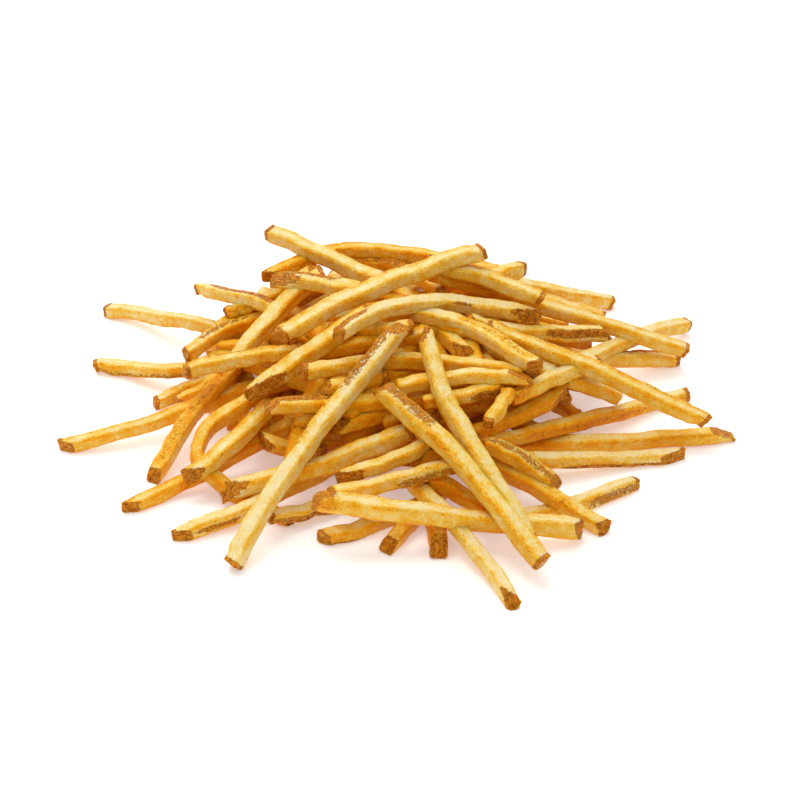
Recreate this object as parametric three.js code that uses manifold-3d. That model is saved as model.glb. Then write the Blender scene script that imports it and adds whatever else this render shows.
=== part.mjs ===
// A loose heap of thin-cut french fries with their skin on, lying on a flat surface.
// The whole heap is one body: a low core, with every fry of the outside fused on at true size.
// Millimetres, +Z up, the surface at z = 0, the front of the heap toward -Y.
import * as THREE from 'three';
import { mergeVertices } from 'three/addons/utils/BufferGeometryUtils.js';
import Module from 'manifold-3d';

// The heap: the height and reach of its mean surface, and the middle it is heaped round.
const HEAP_HEIGHT = 56;
const HEAP_REACH = 132;
const HEAP_REACH_BACK = 94;
const HEAP_MIDDLE_Y = 16;
const HEAP_CURVE = 1.25;

// The core that the fries are fused to, a low dome inside the heap.
const CORE_RADIUS = 55;
const CORE_HEIGHT = 32;
const CORE_Y = 13;

// The direction the fries are laid from: in front of the heap and VIEW_TILT degrees up.
const VIEW_TILT = THREE.MathUtils.degToRad(36);
const VIEW_DISTANCE = 1180;
const VIEW_AIM = 10;

// How a fry rests, as a share of the heap's mean surface, or the heights of its two ends.
const TABLE = 0.35;
const HEAP = 1.0;

// The fries that show, from the bottom of the heap to its top. Each row is the width of its square
// section, how it rests, and the points of its middle line as they are seen from the front:
// [across, up] from the aim point, in the plane square to that view.
const FRIES = [
  // Lying out on the surface, left side.
  [4.7, [0, 14], [-113, 35], [-93, 32], [-42, 23]],
  [5.0, TABLE, [-118, 13], [-101, 12], [-83, 12], [-52, 20]],
  [5.0, TABLE, [-131, -18], [-100, -10], [-72, 0], [-50, 6]],
  [5.0, TABLE, [-106, -42], [-78, -29], [-38, -7]],
  // Lying out on the surface, right side.
  [5.0, TABLE, [110, -22], [93, -23], [35, -22], [5, -15]],
  [5.0, [0, 14], [107, 16], [82, 16], [60, 13]],
  [5.0, [1, 20], [111, 29], [97, 26], [62, 12]],
  [4.9, [31, 14], [39, 43], [79, 32]],
  [5.0, [3, 37], [82, 38], [55, 43], [27, 51]],
  [5.3, TABLE, [91, -32], [65, -42], [39, -47]],
  // Lying out on the surface, front.
  [5.0, TABLE, [-67, -35], [-43, -47]],
  [5.3, TABLE, [-87, -53], [-54, -40], [-39, -32], [-14, -20]],
  [5.3, TABLE, [-30, -54], [-12, -49], [12, -39]],
  [5.3, TABLE, [-5, -57], [16, -35]],
  [6.6, TABLE, [15, -59], [14, -49], [11, -35]],
  [5.3, TABLE, [44, -79], [31, -60], [5, -32]],
  [5.3, TABLE, [129, -13], [93, -16], [41, -18]],
  [5.0, TABLE, [111, 2], [84, -5], [31, -18]],
  [4.7, TABLE, [-50, -46], [-36, -43], [-22, -40]],
  // Left slope.
  [4.7, TABLE, [-95, -1], [-63, 12]],
  [4.4, TABLE, [-86, -1], [-62, 13]],
  [5.3, HEAP, [-96, -30], [-80, -5], [-63, 14]],
  [5.0, HEAP, [-53, 5], [-62, -2], [-75, -12], [-80, -21], [-78, -25], [-67, -35]],
  [5.9, HEAP, [-82, -30], [-68, -19], [-51, -3]],
  [5.0, [30, 38], [-69, 28], [-49, 41], [-32, 51]],
  [5.0, HEAP, [-83, 18], [-68, 27], [-51, 32]],
  [4.1, [12, 20], [-66, 35], [-54, 37]],
  [4.7, [18, 36], [-78, 43], [-62, 40], [-48, 36]],
  [5.9, [24, 34], [-64, 16], [-47, 35], [-31, 48]],
  [5.3, HEAP, [-83, 11], [-62, 16], [-39, 19]],
  // Under the middle, where only ends and edges show.
  [5.6, HEAP, [27, -21], [54, -35], [79, -50]],
  [4.7, HEAP, [-55, -14], [-46, -18], [-30, -20]],
  [5.0, HEAP, [0, -23], [39, -18]],
  [5.0, HEAP, [-23, -31], [-2, -23], [12, -17]],
  [5.3, HEAP, [12, -30], [36, -44]],
  [5.3, HEAP, [-26, -37], [0, -31], [27, -24]],
  [5.3, HEAP, [-25, -11], [-5, -6], [14, -7]],
  [4.7, HEAP, [-42, -10], [-21, -5]],
  [5.6, HEAP, [84, 2], [49, 14]],
  [5.3, HEAP, [44, 1], [60, 8.5], [76, 14]],
  // Lying across the middle.
  [5.3, HEAP, [-51, -2], [-18, -1], [16, 0]],
  [5.3, HEAP, [-34, 19], [-12, 22], [10, 25]],
  [5.3, HEAP, [-37, 11], [1, 15], [46, 11]],
  [5.0, HEAP, [-30, 4], [-6, 9]],
  [5.0, HEAP, [10, -1], [28, 2], [45, 6]],
  [5.3, HEAP, [0, 5], [25, 9], [51, 9]],
  [4.7, HEAP, [-18, 26], [4, 28]],
  // Right slope.
  [5.3, HEAP, [66, 4], [49, -5], [29, -14]],
  [4.7, HEAP, [35, -9], [42, 3]],
  [5.6, HEAP, [32, -16], [48, -24], [61, -33]],
  // Back of the top.
  [5.3, [25, 36], [-21, 54], [-2, 52], [39, 38]],
  [5.0, HEAP, [19, 39], [10, 46], [0, 51]],
  [5.6, [34, 43], [-49, 47], [-35, 46], [-15, 42]],
  // Down the right side from the top.
  [5.3, [44, 7], [12, 49], [70, 32], [110, 19]],
  [5.6, HEAP, [118, -8], [74, 12], [35, 27]],
  [5.3, [36, 16], [27, 30], [47, 26], [80, 26]],
  // Long ones over the front.
  [6.2, HEAP, [-69, -36], [-32, -26], [4, -12]],
  [6.5, HEAP, [-33, -39], [5, -44], [70, -50]],
  [6.0, HEAP, [10, 26], [16, 4], [33, -26], [50, -54]],
  [6.5, HEAP, [-7, 5], [25, -26], [55, -63]],
  // The top, with the arched fry behind it.
  [5.0, [32, 30], [-52, 48], [-32, 56], [-10, 58], [19, 54], [39, 49]],
  [6.2, HEAP, [-58, 1], [-40, 15], [-12, 34]],
  [6.2, HEAP, [-65, -63], [-38, -20], [1, 29]],
  [5.6, [34, 25], [6, 34], [27, 28], [53, 13]],
  [5.5, [37, 35], [-24, 26], [-8, 34], [12, 38], [32, 36], [54, 32]],
  [5.9, [34, 37], [46, 51], [33, 46]],
  [5.6, [39, 47], [54, 39], [35, 47], [12, 53]],
  [5.9, [49, 46], [-50, 65], [-21, 52], [-3, 44]],
  [6.2, [43, 56], [-46, 25], [-19, 40], [31, 58]],
];

// The fries of the inside and of the back slope, laid by rule under the ones above.
const HIDDEN_COUNT = 46;
const BACK_COUNT = 36;
const BACK_REACH = 100;
const HIDDEN_MIDDLE_Y = 9;
const HIDDEN_REACH = 88;
const HIDDEN_SQUASH = 0.8;
const HIDDEN_LIMIT_BACK = [84, 90];
const HIDDEN_LIMIT_FRONT = [74, 48];

// What the draws of the hidden fries range over.
const HIDDEN_HALF = [28, 50];
const HIDDEN_BOW = [-4, 4];
const HIDDEN_WIDE = [4.8, 6];
const INNER_TURN = [-1.2, 1.2];
const INNER_SHARE = [0.25, 0.85];
const BACK_OUT = [0.02, 1];
const BACK_TURN = [-1.5, 1.5];
const BACK_SHARE = [0.8, 1];

// The outline that no hidden fry rises over, seen from the front: its height in the middle and
// how fast it falls toward the sides.
const OUTLINE_TOP = 57;
const OUTLINE_FALL = 0.0035;
const GOLDEN_ANGLE = THREE.MathUtils.degToRad(137.508);
const GOLDEN_RATIO = 0.618;

// How finely a fry is sampled while it settles, and how far the sections may sink together.
const SAMPLES = 19;
const FIRST_STEPS = 30;
const FIRST_PACE = 0.5;
const ARRANGE_STEPS = 80;
const ARRANGE_PACE = 0.8;
const SINK_STEPS = 12;
const SINK_PER_STEP = 0.5;
const REST_STEPS = 40;
const REST_PER_STEP = 0.5;
const CLOSENESS = 0.8;
const OVERLAP_REACH = 0.95;
const HIDDEN_PUSH = 0.12;
const BEDDING = 0.3;
const TOUCHING = 0.42;
const OUTLINE_MARGIN = 0.7;

// How strongly a fry keeps to its resting height (less so while it sinks), to where it is, and to
// the surface, against a push from another fry, and how stiff it is against bowing.
const HOMING = 0.03;
const HOMING_SINKING = 0.001;
const KEEPING = 0.15;
const GROUND_WEIGHT = 6;
const STIFFNESS = 0.075 * SAMPLES;

// The core's rings and sides, the longest straight piece of a fry, the smallest detail kept, and
// the space over the surface that the heap is trimmed to.
const CORE_RINGS = 6;
const CORE_SIDES = 24;
const SEGMENT_LENGTH = 24;
const SMALLEST_STEP = 0.05;
const MERGE_DISTANCE = 1e-4;
const ROOM_WIDE = 400;
const ROOM_HIGH = 100;

const toEye = new THREE.Vector3(0, -Math.cos(VIEW_TILT), Math.sin(VIEW_TILT));
const viewUp = new THREE.Vector3(0, Math.sin(VIEW_TILT), Math.cos(VIEW_TILT));
const aim = new THREE.Vector3(0, 0, VIEW_AIM);
const eye = aim.clone().addScaledVector(toEye, VIEW_DISTANCE);

// A repeatable draw between two values.
let seed = 20;
function draw(low, high) {
  seed = (seed * 16807) % 2147483647;
  return low + (high - low) * (seed / 2147483647);
}

// Evenly spaced points [x, y] along a smooth line.
function smoothLine(points) {
  const spline = new THREE.SplineCurve(points.map(([x, y]) => new THREE.Vector2(x, y)));
  return spline.getSpacedPoints(SAMPLES - 1);
}

// The height of the heap's mean surface over a place on the ground.
function meanSurface(x, y) {
  const dy = y - HEAP_MIDDLE_Y;
  const reach = Math.hypot(x / HEAP_REACH, dy / (dy > 0 ? HEAP_REACH_BACK : HEAP_REACH));
  return HEAP_HEIGHT * Math.max(0, 1 - reach ** HEAP_CURVE);
}

// A fry that shows keeps its place as seen from the front, whatever its height.
function placeSeen(point, height) {
  const through = aim.clone().addScaledVector(viewUp, point.y);
  through.x += point.x;
  const ray = through.sub(eye);
  return eye.clone().addScaledVector(ray, (height - eye.z) / ray.z);
}

// A hidden fry keeps its place on the plan.
function placePlanned(point, height) {
  return new THREE.Vector3(point.x, point.y, height);
}

function makeFry(wide, rest, points, place, inside = true) {
  return { wide, rest, place, inside, line: smoothLine(points), ends: [wide, wide, 0], path: [] };
}

// The height along a fry, from the heights of its two ends and the rise of its middle.
function heightAt(t, [first, last, rise]) {
  return first * (1 - t) + last * t + rise * 4 * t * (1 - t);
}

// Where a fry would lie if nothing were under or over it.
function restingHeight(fry, position, t) {
  if (Array.isArray(fry.rest)) {
    return heightAt(t, [...fry.rest, 0]) + fry.wide / 2;
  }
  const level = meanSurface(position.x, position.y) * fry.rest - fry.wide * BEDDING;
  return Math.max(level, fry.wide / 2);
}

// The end heights and middle rise that come closest to the wanted heights along a fry.
function fitHeights(targets, stiffness) {
  const sums = new Array(9).fill(0);
  const right = [0, 0, 0];
  for (const { t, weight, height } of targets) {
    const basis = [1 - t, t, 4 * t * (1 - t)];
    basis.forEach((a, row) => {
      basis.forEach((b, column) => {
        sums[row * 3 + column] += weight * a * b;
      });
      right[row] += weight * a * height;
    });
  }
  sums[8] += stiffness;
  const solved = new THREE.Vector3(...right);
  return solved.applyMatrix3(new THREE.Matrix3().set(...sums).invert()).toArray();
}

function trace(fry) {
  fry.path = fry.line.map((point, k) => {
    return fry.place(point, Math.max(heightAt(k / (SAMPLES - 1), fry.ends), fry.wide / 2));
  });
}

// How far each sample of a fry is pushed up by those under it, and down by those over it. The
// two fries share the push, but a hidden one gives way to one that shows.
function pushes(fries) {
  const push = fries.map(() => new Array(SAMPLES).fill(0));
  const drop = fries.map(() => new Array(SAMPLES).fill(0));
  fries.forEach((upper, j) => {
    for (let i = 0; i < j; i += 1) {
      const reach = (upper.wide + fries[i].wide) / 2;
      const share = fries[i].place === upper.place ? 0.5 : HIDDEN_PUSH;
      upper.path.forEach((p, k) => {
        fries[i].path.forEach((q, m) => {
          const overlap = reach * CLOSENESS - (p.z - q.z);
          if (overlap > 0 && Math.hypot(p.x - q.x, p.y - q.y) < reach * OVERLAP_REACH) {
            push[j][k] = Math.max(push[j][k], overlap * share);
            drop[i][m] = Math.max(drop[i][m], overlap * (1 - share));
          }
        });
      });
    }
  });
  return { push, drop };
}

// Moves every fry up and down until none passes through another, or through the surface.
function settle(fries) {
  for (const fry of fries) {
    for (let step = 0; step < FIRST_STEPS; step += 1) {
      trace(fry);
      const targets = fry.path.map((position, k) => {
        const t = k / (SAMPLES - 1);
        return { t, weight: 1, height: restingHeight(fry, position, t) };
      });
      const wanted = fitHeights(targets, SAMPLES);
      fry.ends = fry.ends.map((value, k) => value + FIRST_PACE * (wanted[k] - value));
    }
  }
  for (let step = 0; step < ARRANGE_STEPS + SINK_STEPS; step += 1) {
    fries.forEach(trace);
    const { push, drop } = pushes(fries);
    fries.forEach((fry, j) => {
      const sinking = step >= ARRANGE_STEPS && !Array.isArray(fry.rest);
      const homing = sinking ? HOMING_SINKING : HOMING;
      const sink = sinking ? SINK_PER_STEP : 0;
      const targets = [];
      fry.path.forEach((position, k) => {
        const t = k / (SAMPLES - 1);
        const moved = position.z + push[j][k] - drop[j][k];
        const grounded = position.z - drop[j][k] < fry.wide / 2;
        if (grounded) {
          targets.push({ t, weight: GROUND_WEIGHT, height: Math.max(moved, fry.wide / 2) });
        } else if (push[j][k] > 0 || drop[j][k] > 0) {
          targets.push({ t, weight: 1, height: moved });
        }
        targets.push({ t, weight: homing, height: restingHeight(fry, position, t) });
        targets.push({ t, weight: KEEPING, height: position.z - sink });
      });
      const wanted = fitHeights(targets, STIFFNESS);
      fry.ends = fry.ends.map((value, k) => value + ARRANGE_PACE * (wanted[k] - value));
    });
  }
  fries.forEach(trace);
}

function insideHeap([x, y]) {
  const dy = y - HIDDEN_MIDDLE_Y;
  const [limitX, limitY] = dy > 0 ? HIDDEN_LIMIT_BACK : HIDDEN_LIMIT_FRONT;
  return Math.hypot(x / limitX, dy / limitY) < 1;
}

// A fry lying across a place on the plan, bowed by a seeded draw.
function lieAcross(x, y, turn, rest) {
  const half = draw(...HIDDEN_HALF);
  const bow = draw(...HIDDEN_BOW);
  const wide = draw(...HIDDEN_WIDE);
  const first = [x - half * Math.cos(turn), y - half * Math.sin(turn)];
  const middle = [x - bow * Math.sin(turn), y + bow * Math.cos(turn)];
  const last = [x + half * Math.cos(turn), y + half * Math.sin(turn)];
  return makeFry(wide, rest, [first, middle, last], placePlanned, [first, middle, last].every(insideHeap));
}

// Fries spread evenly round the middle of the heap, turned by a seeded draw.
function layInnerFries() {
  const fries = [];
  for (let k = 0; fries.length < HIDDEN_COUNT; k += 1) {
    const around = GOLDEN_ANGLE * k;
    const out = HIDDEN_REACH * Math.sqrt((k * GOLDEN_RATIO) % 1);
    const x = out * Math.cos(around);
    const y = HIDDEN_MIDDLE_Y + HIDDEN_SQUASH * out * Math.sin(around);
    const turn = around + Math.PI / 2 + draw(...INNER_TURN);
    const fry = lieAcross(x, y, turn, draw(...INNER_SHARE));
    if (fry.inside) {
      fries.push(fry);
    }
  }
  return fries;
}

// Fries over the back slope, the side turned away from the front.
function layBackFries() {
  const fries = [];
  for (let k = 0; fries.length < BACK_COUNT; k += 1) {
    const around = Math.PI * ((k * GOLDEN_RATIO) % 1);
    const out = BACK_REACH * Math.sqrt(draw(...BACK_OUT));
    const x = out * Math.cos(around);
    const y = HIDDEN_MIDDLE_Y + HIDDEN_SQUASH * out * Math.sin(around);
    const fry = lieAcross(x, y, around + draw(...BACK_TURN), draw(...BACK_SHARE));
    if (fry.inside) {
      fries.push(fry);
    }
  }
  return fries;
}

function layFries() {
  const seen = FRIES.map(([wide, rest, ...points]) => makeFry(wide, rest, points, placeSeen));
  const fries = [...layInnerFries(), ...layBackFries(), ...seen];
  settle(fries);
  fries.forEach((fry, k) => restOn(fry, fries.slice(0, k)));
  return fries;
}

// The distance between the middle lines of two fries.
function distanceBetween(fry, other) {
  const piece = new THREE.Line3();
  const nearest = new THREE.Vector3();
  let distance = Infinity;
  for (let k = 1; k < SAMPLES; k += 1) {
    piece.set(other.path[k - 1], other.path[k]);
    for (const point of fry.path) {
      piece.closestPointToPoint(point, true, nearest);
      distance = Math.min(distance, point.distanceTo(nearest));
    }
  }
  return distance;
}

function touchesCore({ path }) {
  return path.some(({ x, y, z }) => {
    return Math.hypot(x / CORE_RADIUS, (y - CORE_Y) / CORE_RADIUS, z / CORE_HEIGHT) < 1;
  });
}

function touches(fry, before) {
  return before.some((other) => distanceBetween(fry, other) < TOUCHING * (fry.wide + other.wide));
}

function overOutline({ path, place, wide }) {
  return place === placePlanned && path.some(({ x, y, z }) => {
    const up = (z - VIEW_AIM) * Math.cos(VIEW_TILT) + y * Math.sin(VIEW_TILT);
    return up + OUTLINE_MARGIN * wide > OUTLINE_TOP - OUTLINE_FALL * x * x;
  });
}

// A fry that hangs clear of those before it, or over the outline, sinks until it does not.
function restOn(fry, before) {
  const loose = () => !touchesCore(fry) && !touches(fry, before);
  const floor = fry.wide / 2;
  for (let step = 0; step < REST_STEPS && (overOutline(fry) || loose()); step += 1) {
    const [first, last, rise] = fry.ends;
    fry.ends = [Math.max(first - REST_PER_STEP, floor), Math.max(last - REST_PER_STEP, floor), rise];
    trace(fry);
  }
}

// One fry as a square bar along its path.
function fryGeometry({ wide, path }) {
  const half = wide / 2;
  const section = new THREE.Shape([
    new THREE.Vector2(-half, -half),
    new THREE.Vector2(half, -half),
    new THREE.Vector2(half, half),
    new THREE.Vector2(-half, half),
  ]);
  const curve = new THREE.CatmullRomCurve3(path);
  const steps = Math.max(2, Math.round(curve.getLength() / SEGMENT_LENGTH));
  return new THREE.ExtrudeGeometry(section, { steps, extrudePath: curve, bevelEnabled: false });
}

// The core as a low dome, with a flat base on the surface.
function coreGeometry() {
  const profile = [new THREE.Vector2(0, 0)];
  for (let k = 0; k <= CORE_RINGS; k += 1) {
    const angle = (Math.PI / 2) * (k / CORE_RINGS);
    profile.push(new THREE.Vector2(CORE_RADIUS * Math.cos(angle), CORE_HEIGHT * Math.sin(angle)));
  }
  profile[profile.length - 1].x = 0;
  const dome = new THREE.LatheGeometry(profile, CORE_SIDES);
  return dome.rotateX(Math.PI / 2).translate(0, CORE_Y, 0);
}

const wasm = await Module();
wasm.setup();

function toSolid(geometry) {
  geometry.deleteAttribute('normal');
  geometry.deleteAttribute('uv');
  const merged = mergeVertices(geometry, MERGE_DISTANCE);
  return new wasm.Manifold(new wasm.Mesh({
    numProp: 3,
    vertProperties: new Float32Array(merged.attributes.position.array),
    triVerts: new Uint32Array(merged.index.array),
  }));
}

function toGeometry(solid) {
  const mesh = solid.getMesh();
  const geometry = new THREE.BufferGeometry();
  geometry.setAttribute('position', new THREE.BufferAttribute(mesh.vertProperties, 3));
  geometry.setIndex(new THREE.BufferAttribute(mesh.triVerts, 1));
  geometry.computeVertexNormals();
  return geometry;
}

function fuseHeap() {
  let heap = toSolid(coreGeometry());
  for (const fry of layFries()) {
    heap = heap.add(toSolid(fryGeometry(fry)));
  }
  const room = new THREE.BoxGeometry(ROOM_WIDE, ROOM_WIDE, ROOM_HIGH).translate(0, 0, ROOM_HIGH / 2);
  const trimmed = toSolid(toGeometry(heap.intersect(toSolid(room))));
  const parts = trimmed.simplify(SMALLEST_STEP).decompose();
  // The outer skin alone, so that hollows sealed between the fries are filled.
  return parts.reduce((a, b) => (a.volume() > b.volume() ? a : b));
}

const friedPotato = new THREE.MeshStandardMaterial({
  color: 0xe9bd5c,
  roughness: 0.55,
  metalness: 0,
});

const heapMesh = new THREE.Mesh(toGeometry(fuseHeap()), friedPotato);
heapMesh.name = 'fries';

const portion = new THREE.Group();
portion.add(heapMesh);

export default portion;
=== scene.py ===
"""A portion of french fries: thin cut, skin on, heaped loosely on a pale surface.

The heap is laid fry by fry, each fry is shaped from a straight bar and bent along its line, and
the fries of each part of the heap are joined to one piece.
"""
import math
import random

import bmesh
import bpy
import numpy as np
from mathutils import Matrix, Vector


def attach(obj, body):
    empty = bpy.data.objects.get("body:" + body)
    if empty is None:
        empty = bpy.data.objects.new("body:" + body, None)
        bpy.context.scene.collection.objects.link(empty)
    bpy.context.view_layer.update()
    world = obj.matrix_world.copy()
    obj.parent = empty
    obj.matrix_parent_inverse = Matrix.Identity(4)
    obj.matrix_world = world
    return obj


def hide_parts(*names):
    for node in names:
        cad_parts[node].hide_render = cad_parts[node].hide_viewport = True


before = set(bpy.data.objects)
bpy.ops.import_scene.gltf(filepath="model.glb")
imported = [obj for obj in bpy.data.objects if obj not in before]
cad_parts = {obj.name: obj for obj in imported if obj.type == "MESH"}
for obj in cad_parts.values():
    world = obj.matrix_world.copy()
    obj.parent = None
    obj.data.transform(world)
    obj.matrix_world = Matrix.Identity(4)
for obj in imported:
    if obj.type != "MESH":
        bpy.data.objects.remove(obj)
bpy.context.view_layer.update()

MM = 0.001
BODY = "root"
NODE = "fries"

# ---- The heap. Lengths are in millimetres here ----

# The height and reach of the heap's mean surface, and the middle it is heaped round.
HEAP_HEIGHT = 56
HEAP_REACH = 132
HEAP_REACH_BACK = 94
HEAP_MIDDLE_Y = 16
HEAP_CURVE = 1.25

# The low dome inside the heap that the lowest fries lie on. The core that is modelled stays well
# under it, out of sight.
CORE_RADIUS = 55
CORE_HEIGHT = 32
CORE_Y = 13

# The direction the fries are laid from: in front of the heap and VIEW_TILT degrees up.
VIEW_TILT = math.radians(36)
VIEW_DISTANCE = 1180
VIEW_AIM = 10

# How a fry rests, as a share of the heap's mean surface.
TABLE = 0.35
HEAP = 1.0

# The sides of a fry: its top, the side toward the front, its underside, and the far side.
TOP, NEAR, UNDER, FAR = 0, 90, 180, 270

# Patches on the sides of a fry, and ends that are not cut at a slant. A slant is (side, reach).
SKIN, WORN, DARK, TOASTED = "skin", "worn", "dark", "toasted"
CAP, TIP, PALE = "cap", "tip", "pale"

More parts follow.
